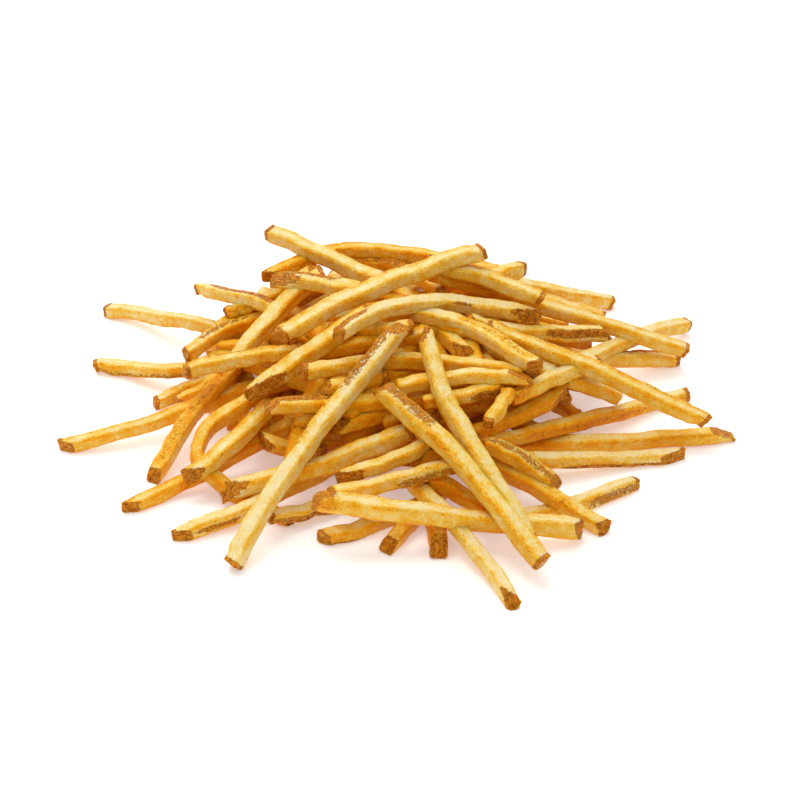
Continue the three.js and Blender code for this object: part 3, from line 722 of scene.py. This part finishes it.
def make_texture(name, size, depth):
    """Cloudy noise for relief, of a real size."""
    noise = bpy.data.textures.new(name, 'CLOUDS')
    noise.noise_scale = size
    noise.noise_depth = depth
    noise.noise_basis = 'IMPROVED_PERLIN'
    return noise


def make_empty(name, size):
    """The space that a relief texture is stretched in."""
    deselect()
    bpy.ops.object.empty_add()
    empty = bpy.context.object
    empty.name = name
    empty.scale = size
    return empty


def make_bend_line():
    """The curve that the bars are bent along. Its points are set anew for each fry."""
    data = bpy.data.curves.new("bend_line", 'CURVE')
    data.dimensions = '3D'
    data.twist_mode = 'Z_UP'
    data.resolution_u = BEND_RESOLUTION
    line = data.splines.new('BEZIER')
    line.bezier_points.add(BEND_POINTS - 1)
    obj = bpy.data.objects.new("bend_line", data)
    bpy.context.collection.objects.link(obj)
    return obj


def smooth_step(low, high, value):
    """Rises softly from 0 to 1 between two values."""
    t = np.clip((value - low) / (high - low), 0, 1)
    return t * t * (3 - 2 * t)


def set_attribute(mesh, name, kind, values):
    """Stores a value for each vertex, for the materials to read."""
    layer = mesh.attributes.new(name, kind, 'POINT')
    layer.data.foreach_set('vector' if kind == 'FLOAT_VECTOR' else 'value', values.ravel())


def patch_mask(angle, t, length, side, half, start=0, stop=1):
    """How much of a patch covers each point. A patch narrows and fades toward its two ends."""
    off = np.abs((angle - side + 180) % 360 - 180)
    fade = PATCH_FADE / length
    low = smooth_step(start - fade, start + fade, t) if start > 0 else 1
    high = 1 - smooth_step(stop - fade, stop + fade, t) if stop < 1 else 1
    reach = half * (PATCH_NARROW + (1 - PATCH_NARROW) * low * high)
    across = 1 - smooth_step(reach - PATCH_SOFT, reach + PATCH_SOFT, off)
    return across * low * high


def slice_end(place, far, half, near, side, reach):
    """Slices an end off at a slant toward one side, and tells how deep the cut is."""
    far = np.maximum(far, 0)
    turn = math.radians(side)
    toward = np.array([0, near * math.sin(turn), math.cos(turn)])
    limit = half * (SLANT_TIP + (SLANT_TOP - SLANT_TIP) * (far / (reach * MM)) ** SLANT_ROUND)
    depth = place @ toward - limit
    place -= np.maximum(depth, 0)[:, None] * toward
    return depth


def get_places(mesh):
    place = np.empty(len(mesh.vertices) * 3, np.float32)
    mesh.vertices.foreach_get('co', place)
    return place.reshape(-1, 3)


def set_places(mesh, place):
    mesh.vertices.foreach_set('co', place.astype(np.float32).ravel())
    mesh.update()


def cut_and_mark(mesh, length, wide, near, ends, patches):
    """Slants the ends of a straight fry, and marks where it has skin and where it is browned."""
    place = get_places(mesh)
    t = place[:, 0] / length
    angle = np.degrees(np.arctan2(near * place[:, 1], place[:, 2])) % 360
    half = wide / 2
    shift = np.array([looks.uniform(0, GRAIN_SHIFT) for _ in range(3)])
    set_attribute(mesh, "grain_place", 'FLOAT_VECTOR', (place + shift).astype(np.float32))
    edge = smooth_step(*EDGE_BAND, np.minimum(abs(place[:, 1]), abs(place[:, 2])) / half)
    flat = looks.uniform(*FLATNESS)
    for axis, share in ((1, 1 / flat), (2, flat)):
        waves = looks.uniform(*SWELL_WAVES)
        swell = 1 + SWELL * np.cos(2 * math.pi * (waves * t + looks.random()))
        place[:, axis] *= share * swell
    for far in (place[:, 0], length - place[:, 0]):
        pinch = looks.uniform(*PINCH)
        place[:, 1:] *= (1 - pinch * (1 - smooth_step(0, PINCH_REACH, far)))[:, None]
    skin = np.zeros(len(t))
    brown = EDGE_BROWN * edge
    for kind, *reach in patches:
        mask = patch_mask(angle, t, length, *reach)
        if kind == TOASTED:
            brown = np.maximum(brown, TOASTED_BROWN * mask)
        else:
            skin = np.maximum(skin, mask * SKIN_LEFT[kind])
    for far, end in zip((place[:, 0].copy(), length - place[:, 0]), ends):
        reach = TIP_BROWN_STOP if end == TIP else END_BROWN_STOP
        mask = 1 - smooth_step(END_BROWN_START, reach, far)
        brown = np.maximum(brown, mask * (PALE_BROWN if end == PALE else 1))
        if end == TIP:
            end = (looks.uniform(*TIP_SIDE), looks.uniform(*TIP_REACH))
        if isinstance(end, tuple):
            depth = slice_end(place, far, half, near, *end)
            skin = np.maximum(skin, CUT_SKIN * smooth_step(-CUT_BORDER, CUT_BORDER, depth))
        if end != PALE:
            skin = np.maximum(skin, 1 - smooth_step(*CAP_RIM, far))
    set_places(mesh, place)
    set_attribute(mesh, "skin", 'FLOAT', skin.astype(np.float32))
    set_attribute(mesh, "browning", 'FLOAT', brown.astype(np.float32))
    return skin, t


def mark_gold_and_painted_shade(mesh, t, golden, shelter):
    """Marks how deep the gold of the flesh is: its own gold, with painted shade that deepens it low in the
    heap and on undersides.
    """
    normal = np.empty(len(t) * 3, np.float32)
    mesh.vertex_normals.foreach_get('vector', normal)
    turned = 0.5 - 0.5 * normal[2::3]
    covered = np.interp(t, ALONG, shelter)
    # The fry's own gold, plus painted shade where other fries lie over it and where its sides face the
    # ground.
    tone = golden + SHELTER_PAINTED_SHADE * covered + UNDERSIDE_PAINTED_SHADE * turned
    set_attribute(mesh, "golden", 'FLOAT', tone.astype(np.float32))


def tilt_end(end_x, about_y, about_z):
    """Turns the end face of the open bar, with the last stretch of the bar easing into it."""
    pick('VERT', lambda vertex: abs(vertex.co.x - end_x) < END_FACE_DEPTH)
    for axis, turn in (('Y', about_y), ('Z', about_z)):
        bpy.ops.transform.rotate(
            value=turn, orient_axis=axis, center_override=(end_x, 0, 0),
            use_proportional_edit=True, proportional_edit_falloff='SMOOTH',
            proportional_size=END_REACH,
        )


class Kitchen:
    """The blanks, textures and bend line that every fry is made with."""

    def __init__(self):
        self.seen_blanks = [make_blank(size, RING_SEEN, CUTS_SEEN) for size in BLANK_LENGTHS]
        self.hidden_blanks = [make_blank(size, RING_HIDDEN, CUTS_HIDDEN) for size in BLANK_LENGTHS]
        self.bend_line = make_bend_line()
        even = make_empty("even_space", (1, 1, 1))
        long = make_empty("long_space", (RELIEF_STRETCH, 1, 1))
        self.spaces = [even, long]
        self.relief = [
            {"texture": make_texture(name, size, depth), "strength": height,
             "texture_coords_object": long if along else even,
             "vertex_group": "rough" if skin_only else ""}
            for name, (size, depth, height, along, skin_only) in RELIEF.items()
        ]

    def clear(self):
        """Removes what the fries were made with."""
        deselect()
        for tool in [*self.seen_blanks, *self.hidden_blanks, self.bend_line, *self.spaces]:
            tool.select_set(True)
        bpy.ops.object.delete()


def lengthened(path):
    """A path with both its ends drawn out a little, for what their rounding takes off."""
    path = path.copy()
    for end, inner in ((0, 1), (-1, -2)):
        way = path[end] - path[inner]
        path[end] += way / np.linalg.norm(way) * END_ALLOWANCE
    return path


def make_fry(kitchen, path, wide, seen, shelter, golden, ends, patches=()):
    """One fry: a bar cut to length, its ends tilted, its relief raised, bent along its path."""
    path = lengthened(path) * MM
    wide = wide * MM + ROUNDING_ALLOWANCE
    length = float(np.linalg.norm(np.diff(path, axis=0), axis=1).sum())
    size = min(range(len(BLANK_LENGTHS)), key=lambda k: abs(BLANK_LENGTHS[k] - length))
    blank = (kitchen.seen_blanks if seen else kitchen.hidden_blanks)[size]
    bar = blank.copy()
    bar.data = blank.data.copy()
    bpy.context.collection.objects.link(bar)
    deselect()
    bar.select_set(True)
    bpy.context.view_layer.objects.active = bar
    bar.scale = (length / BLANK_LENGTHS[size], wide / BLANK_WIDTH, wide / BLANK_WIDTH)
    bpy.ops.object.transform_apply(location=False, rotation=False, scale=True)
    near = -1 if path[-1, 0] > path[0, 0] else 1
    skin, t = cut_and_mark(bar.data, length, wide, near, ends, patches)
    start_edit(bar)
    for end_x, end in zip((0, length), ends):
        if not isinstance(end, tuple):
            tilt_end(end_x, looks.uniform(-END_TURN, END_TURN), looks.uniform(-END_TURN, END_TURN))
    bpy.ops.object.mode_set(mode='OBJECT')
    rough = bar.vertex_groups.new(name="rough")
    for weight in ROUGH_STEPS:
        members = np.nonzero(skin > weight - ROUGH_STEPS[0])[0]
        rough.add(members.tolist(), weight, 'REPLACE')
    for space in kitchen.spaces:
        space.location = [looks.uniform(-1, 1) for _ in range(3)]
    for relief in kitchen.relief:
        shape_with(bar, 'DISPLACE', texture_coords='OBJECT', **relief)
    bend(kitchen.bend_line, path)
    shape_with(bar, 'CURVE', object=kitchen.bend_line, deform_axis='POS_X')
    bar.vertex_groups.clear()
    mark_gold_and_painted_shade(bar.data, t, golden, shelter)
    return bar


def bend(line, path):
    """Lays the bend line along a path, rolled a little to one side."""
    roll = looks.uniform(-ROLL, ROLL)
    twist = looks.uniform(-TWIST, TWIST)
    picked = np.linspace(0, SAMPLES - 1, BEND_POINTS).round().astype(int)
    for k, point in enumerate(line.data.splines[0].bezier_points):
        point.co = path[picked[k]] + [looks.uniform(-WIGGLE, WIGGLE) for _ in range(3)]
        point.handle_left_type = 'AUTO'
        point.handle_right_type = 'AUTO'
        point.tilt = roll + twist * k / (BEND_POINTS - 1)
    line.data.update_tag()


def rest_on_floor(mesh):
    """Flattens what would reach below the surface that the heap lies on."""
    place = get_places(mesh)
    place[:, 2] = np.maximum(place[:, 2], FLOOR_GAP)
    set_places(mesh, place)


def join_piece(name, bars, material):
    """Joins fries to one finished piece of the model."""
    deselect()
    for bar in bars:
        bar.select_set(True)
    bpy.context.view_layer.objects.active = bars[0]
    bpy.ops.object.join()
    piece = bars[0]
    piece.name = name
    piece.data.name = name
    rest_on_floor(piece.data)
    piece.data.materials.clear()
    piece.data.materials.append(material)
    deselect()
    piece.select_set(True)
    bpy.ops.object.shade_smooth_by_angle(angle=SMOOTH_ANGLE)
    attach(piece, BODY)
    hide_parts(NODE)
    return piece


# ---- Materials ----


def colour(code):
    """Turns an sRGB hex colour to linear."""
    parts = [int(code[k:k + 2], 16) / 255 for k in (1, 3, 5)]
    return (*[c / 12.92 if c <= 0.04045 else ((c + 0.055) / 1.055) ** 2.4 for c in parts], 1)


def add(tree, kind, sockets=None, stops=None, **settings):
    """Adds a node, with its settings, its ramp and what its sockets hold or are fed by."""
    node = tree.nodes.new("ShaderNode" + kind)
    for name, value in settings.items():
        setattr(node, name, value)
    for name, value in (sockets or {}).items():
        if isinstance(value, bpy.types.NodeSocket):
            tree.links.new(value, node.inputs[name])
        else:
            node.inputs[name].default_value = value
    if stops:
        ramp = node.color_ramp
        while len(ramp.elements) < len(stops):
            ramp.elements.new(1)
        for element, (position, code) in zip(ramp.elements, stops):
            element.position = position
            element.color = colour(code)
    return node


def new_material(name):
    material = bpy.data.materials.new(name)
    material.use_nodes = True
    material.node_tree.nodes.clear()
    return material


# The sockets of a mix node, for colours and for plain values.
MIX_FACTOR, MIX_A, MIX_B, MIX_RESULT = 0, 6, 7, 2
MIX_VALUE_A, MIX_VALUE_B, MIX_VALUE_RESULT = 2, 3, 0

# The size of the tooth of the surface, and how strongly it is lit from below.
FLOOR_TOOTH = 1.11 * MM
FLOOR_GLOW = 0.26


def make_fried_potato():
    """Fried potato with its skin left on: a creamy flesh with fine fibres along the fry, gold toward its
    edges and browned there in speckles, its gold deepened by painted shade under other fries and on
    undersides, and patches of rough tan skin with dark pits and a painted highlight, a paler colour, on its
    raised bumps. A film of oil gives it a soft golden gloss, and light glows a little way in."""
    material = new_material("fried_potato_skin_on")
    tree = material.node_tree
    place = add(tree, "Attribute", attribute_name="grain_place").outputs["Vector"]
    skin = add(tree, "Attribute", attribute_name="skin").outputs["Fac"]
    browning = add(tree, "Attribute", attribute_name="browning").outputs["Fac"]
    # golden is the flesh's own gold with painted shade added under other fries and on undersides.
    golden = add(tree, "Attribute", attribute_name="golden").outputs["Fac"]

    def stretched(share):
        """The place in a fry, with what is along it drawn out."""
        return add(tree, "Mapping", {"Vector": place, "Scale": (share, 1, 1)}).outputs["Vector"]

    def noise(vector, size, detail=3.0):
        """Cloudy noise of a size in millimetres."""
        return add(tree, "TexNoise", {
            "Vector": vector, "Scale": 1 / (size * MM), "Detail": detail, "Roughness": 0.55,
        }).outputs["Fac"]

    def maths(operation, first, second=0.0, clamp=False):
        return add(tree, "Math", {0: first, 1: second}, operation=operation, use_clamp=clamp).outputs[0]

    def band(value, low, high):
        """Rises softly from 0 to 1 between two values."""
        return add(tree, "MapRange", {
            "Value": value, "From Min": low, "From Max": high,
        }, interpolation_type='SMOOTHSTEP').outputs["Result"]

    def blend(mask, amount, first, second):
        return add(tree, "Mix", {
            MIX_FACTOR: maths('MULTIPLY', mask, amount), MIX_A: first, MIX_B: second,
        }, data_type='RGBA').outputs[MIX_RESULT]

    def outside(mask):
        return maths('SUBTRACT', 1.0, mask)

    def varied(value, *parts):
        """Adds noises to a value, each by its own amount."""
        for amount, part in parts:
            value = maths('ADD', value, maths('MULTIPLY', maths('SUBTRACT', part, 0.5), amount))
        return value

    fibres = noise(stretched(0.28), 0.7)
    streaks = noise(stretched(0.12), 1.6)
    mottle = noise(place, 5.0)
    stains = noise(place, 2.0)
    specks = noise(place, 0.8, 2.0)
    fine = noise(place, 0.4, 2.0)

    edge = maths('MULTIPLY', maths('SUBTRACT', browning, 0.2), maths('MULTIPLY', stains, 1.6))
    tone = varied(maths('ADD', golden, edge), (1.3, mottle), (0.2, streaks), (0.6, fibres),
                  (1.1, specks))
    flesh = add(tree, "ValToRGB", {"Fac": maths('MULTIPLY', tone, 0.55, clamp=True)}, [
        (0.0, "#F8E6B4"), (0.15, "#F7D988"), (0.3, "#F5C74E"), (0.45, "#F3B018"),
        (0.6, "#EF9A02"), (0.8, "#E68400"), (1.0, "#D46800"),
    ]).outputs["Color"]
    spotted = varied(browning, (1.3, specks), (0.9, stains), (0.5, fine))
    toasted = blend(band(spotted, 0.66, 1.02), 0.8, flesh, colour("#9A4C08"))

    cells = add(tree, "TexVoronoi", {"Vector": place, "Scale": 1 / (1.35 * MM)})
    chance = add(tree, "SeparateColor", {"Color": cells.outputs["Color"]}).outputs[0]
    outward = varied(cells.outputs["Distance"], (0.5, fine))
    bumps_with_highlight = outside(band(maths('ADD', outward, maths('MULTIPLY', chance, 0.3)), 0.25, 0.56))
    rind_tone = varied(0.5, (1.1, stains), (0.9, specks), (0.8, fibres))
    rind = add(tree, "ValToRGB", {"Fac": rind_tone}, [
        (0.1, "#8A4400"), (0.4, "#BC6A06"), (0.7, "#DC8C16"), (0.95, "#EEAC3C"),
    ]).outputs["Color"]
    pits = outside(band(varied(0.5, (1.0, specks), (0.7, fine), (0.4, fibres)), 0.27, 0.42))
    # The raised bumps of the skin get a paler colour: a painted highlight.
    rind = blend(bumps_with_highlight, 0.65, rind, colour("#F0BC5C"))
    rind = blend(pits, 0.8, rind, colour("#6A3208"))

    border = varied(skin, (0.9, stains), (0.8, specks))
    covered = band(border, 0.4, 0.56)
    rim = maths('MULTIPLY', band(border, 0.32, 0.46), outside(band(border, 0.5, 0.66)))
    surface = blend(rim, 0.45, blend(covered, 1.0, toasted, rind), colour("#8A4A0A"))

    relief = add(tree, "Mix", {
        MIX_FACTOR: covered,
        MIX_VALUE_A: varied(0.5, (0.7, fibres), (0.7, specks), (0.3, fine)),
        MIX_VALUE_B: varied(bumps_with_highlight, (0.6, fine), (0.5, fibres)),
    }, data_type='FLOAT').outputs[MIX_VALUE_RESULT]
    bump = add(tree, "Bump", {
        "Height": relief, "Strength": 0.8, "Distance": 0.8 * MM,
    }).outputs["Normal"]
    gloss = add(tree, "MapRange", {"Value": covered, "To Min": 0.32, "To Max": 0.46}).outputs[0]
    shader = add(tree, "BsdfPrincipled", {
        "Base Color": surface,
        "Roughness": gloss,
        "IOR": 1.46,
        "Specular IOR Level": 0.45,
        "Specular Tint": colour("#FFE27C"),
        "Normal": bump,
        "Subsurface Weight": 0.6,
        "Subsurface Radius": (1.0, 0.55, 0.2),
        "Subsurface Scale": 2.5 * MM,
    })
    add(tree, "OutputMaterial", {"Surface": shader.outputs["BSDF"]})
    return material


def make_floor_material():
    """A sheet of matt white acrylic, lit a little from below, so that only soft and light shadows
    show on it."""
    material = new_material("white_acrylic")
    tree = material.node_tree
    place = add(tree, "TexCoord").outputs["Object"]
    tooth = add(tree, "TexNoise", {"Vector": place, "Scale": 1 / FLOOR_TOOTH, "Detail": 2.0}).outputs["Fac"]
    tint = add(tree, "Mix", {
        MIX_FACTOR: tooth, MIX_A: colour("#FBFAF8"), MIX_B: colour("#F8F7F5"),
    }, data_type='RGBA').outputs[MIX_RESULT]
    shader = add(tree, "BsdfPrincipled", {
        "Base Color": tint, "Roughness": 0.8,
        "Emission Color": (1, 1, 1, 1), "Emission Strength": FLOOR_GLOW,
    })
    add(tree, "OutputMaterial", {"Surface": shader.outputs["BSDF"]})
    return material


# ---- The core, the fries, the surface and the light ----

# The side of the square surface, in metres.
FLOOR_SIZE = 6

# The lamps, all aimed at the heap: the place and size in metres, the power in watts and the tint.
LAMPS = {
    "overhead": ((-0.5, 0.5, 2.1), 0.85, 13, "#FFFDF8"),
    "back": ((-0.7, 1.9, 1.6), 1.2, 21, "#FFFCF5"),
}

# The light of the white tent near the ground and from its top, and how high up, from 0 level with
# the ground to 1 straight overhead, the top begins.
SKY_LOW = 0.34
SKY_HIGH = 0.9
SKY_TOP = 0.8

# The camera, in millimetres, and from where on it sees things, in metres.
CAMERA_LENS = 136.5
CAMERA_SENSOR = 36
CAMERA_NEAR = 0.05


def make_core(material):
    """A low lumpy dome of packed potato that closes the middle of the heap, coloured browner and deeper
    gold as painted shade for the dark inside.
    """
    deselect()
    bpy.ops.mesh.primitive_uv_sphere_add(segments=CORE_SEGMENTS, ring_count=CORE_RINGS, radius=1)
    core = bpy.context.object
    radius = CORE_RADIUS * CORE_NARROWED * MM
    core.scale = (radius, radius, CORE_HEIGHT * CORE_LOWERED * MM)
    core.location = (0, CORE_Y * MM, 0)
    bpy.ops.object.transform_apply(location=True, rotation=False, scale=True)
    start_edit(core)
    bpy.ops.mesh.select_all(action='SELECT')
    bpy.ops.mesh.bisect(
        plane_co=(0, 0, CORE_FOOT), plane_no=(0, 0, 1), use_fill=True, clear_inner=True)
    bpy.ops.object.mode_set(mode='OBJECT')
    lumps = make_texture("lumps", LUMP_SIZE, 2)
    shape_with(core, 'DISPLACE', texture=lumps, texture_coords='LOCAL', strength=LUMP_HEIGHT)
    place = get_places(core.data)
    set_attribute(core.data, "grain_place", 'FLOAT_VECTOR', place)
    # This browning and gold are painted shade, so the core reads as the dark inside of the heap.
    for name, value in (("skin", 0), ("browning", CORE_SHADE_BROWNING), ("golden", CORE_SHADE_GOLD)):
        set_attribute(core.data, name, 'FLOAT', np.full(len(place), value, np.float32))
    return join_piece("heap_core", [core], material)


def hidden_look(inside):
    """How golden a hidden fry is, its ends and its patches, by a seeded draw."""
    sides = [TOP, NEAR, UNDER, FAR]
    ends = []
    for _ in range(2):
        side = looks.choice(sides) + looks.uniform(*HIDDEN_SLANT_TURN)
        slant = (side, looks.uniform(*HIDDEN_SLANT_REACH))
        ends.append(looks.choice([PALE] if inside else [CAP, TIP, slant]))
    patches = [(TOASTED, looks.choice(LONG_EDGES), EDGE_SPREAD)]
    if looks.random() < (INSIDE_SKIN_CHANCE if inside else BACK_SKIN_CHANCE):
        start = looks.uniform(*HIDDEN_SKIN_START)
        stop = start + looks.uniform(*HIDDEN_SKIN_RUN)
        side = looks.choice(sides)
        patches.append((SKIN, side, looks.uniform(*HIDDEN_SKIN_SPREAD), start, stop))
    return looks.uniform(*HIDDEN_GOLDEN), ends, patches


def make_fries(material):
    """Makes every fry of the heap and joins those of each part of it."""
    heap = lay_heap()
    filling = lay_filling()
    shelter = heap.shelter()
    kitchen = Kitchen()
    rows = [(name, *row[3:]) for name, group in FRIES.items() for row in group]
    hidden = heap.count - len(rows)
    names = ["fries_inside"] * HIDDEN_COUNT + ["fries_back"] * BACK_COUNT
    plan = [(name, *hidden_look(name == "fries_inside")) for name in names] + rows
    pieces = {}
    for k, (name, *look) in enumerate(plan):
        bar = make_fry(kitchen, heap.path[k], heap.wide[k], k >= hidden, shelter[k], *look)
        pieces.setdefault(name, []).append(bar)
    for path in filling:
        # The filling lies deep inside, so it takes the full painted shade.
        bar = make_fry(kitchen, path, FILLING_WIDE, False, np.ones(SAMPLES), *hidden_look(True))
        pieces.setdefault("fries_filling", []).append(bar)
    kitchen.clear()
    for name, bars in pieces.items():
        join_piece(name, bars, material)


def make_stage():
    """A pale surface that runs far out past the heap."""
    deselect()
    bpy.ops.mesh.primitive_plane_add(size=FLOOR_SIZE, location=(0, 0, 0))
    floor = bpy.context.object
    floor.name = "floor"
    floor.data.materials.append(make_floor_material())


def add_lamp(name, place, size, power, tint):
    """Adds a square lamp that is aimed at the heap."""
    deselect()
    bpy.ops.object.light_add(type='AREA', location=place)
    light = bpy.context.object
    light.name = name
    light.data.size = size
    light.data.energy = power
    light.data.color = colour(tint)[:3]
    light.rotation_euler = (-Vector(place)).to_track_quat('-Z', 'Y').to_euler()


def make_light():
    """Soft studio light: large lamps overhead and behind, and a white tent, brighter on top."""
    for name, settings in LAMPS.items():
        add_lamp(name, *settings)
    world = bpy.data.worlds.new("studio")
    world.use_nodes = True
    tree = world.node_tree
    way = add(tree, "TexCoord").outputs["Generated"]
    upward = add(tree, "SeparateXYZ", {"Vector": way}).outputs["Z"]
    strength = add(tree, "MapRange", {
        "Value": upward, "From Max": SKY_TOP, "To Min": SKY_LOW, "To Max": SKY_HIGH,
    }).outputs[0]
    tree.nodes["Background"].inputs["Color"].default_value = (1, 1, 1, 1)
    tree.links.new(strength, tree.nodes["Background"].inputs["Strength"])
    bpy.context.scene.world = world
    bpy.context.scene.view_settings.view_transform = 'Standard'


def make_camera():
    """The view from in front of the heap and above it, through a long lens."""
    deselect()
    bpy.ops.object.camera_add(location=Vector(EYE * MM))
    camera = bpy.context.object
    camera.rotation_euler = Vector(-TO_EYE).to_track_quat('-Z', 'Y').to_euler()
    camera.data.lens = CAMERA_LENS
    camera.data.sensor_width = CAMERA_SENSOR
    camera.data.clip_start = CAMERA_NEAR
    bpy.context.scene.camera = camera


fried_potato = make_fried_potato()
make_fries(fried_potato)
make_core(fried_potato)
make_stage()
make_light()
make_camera()
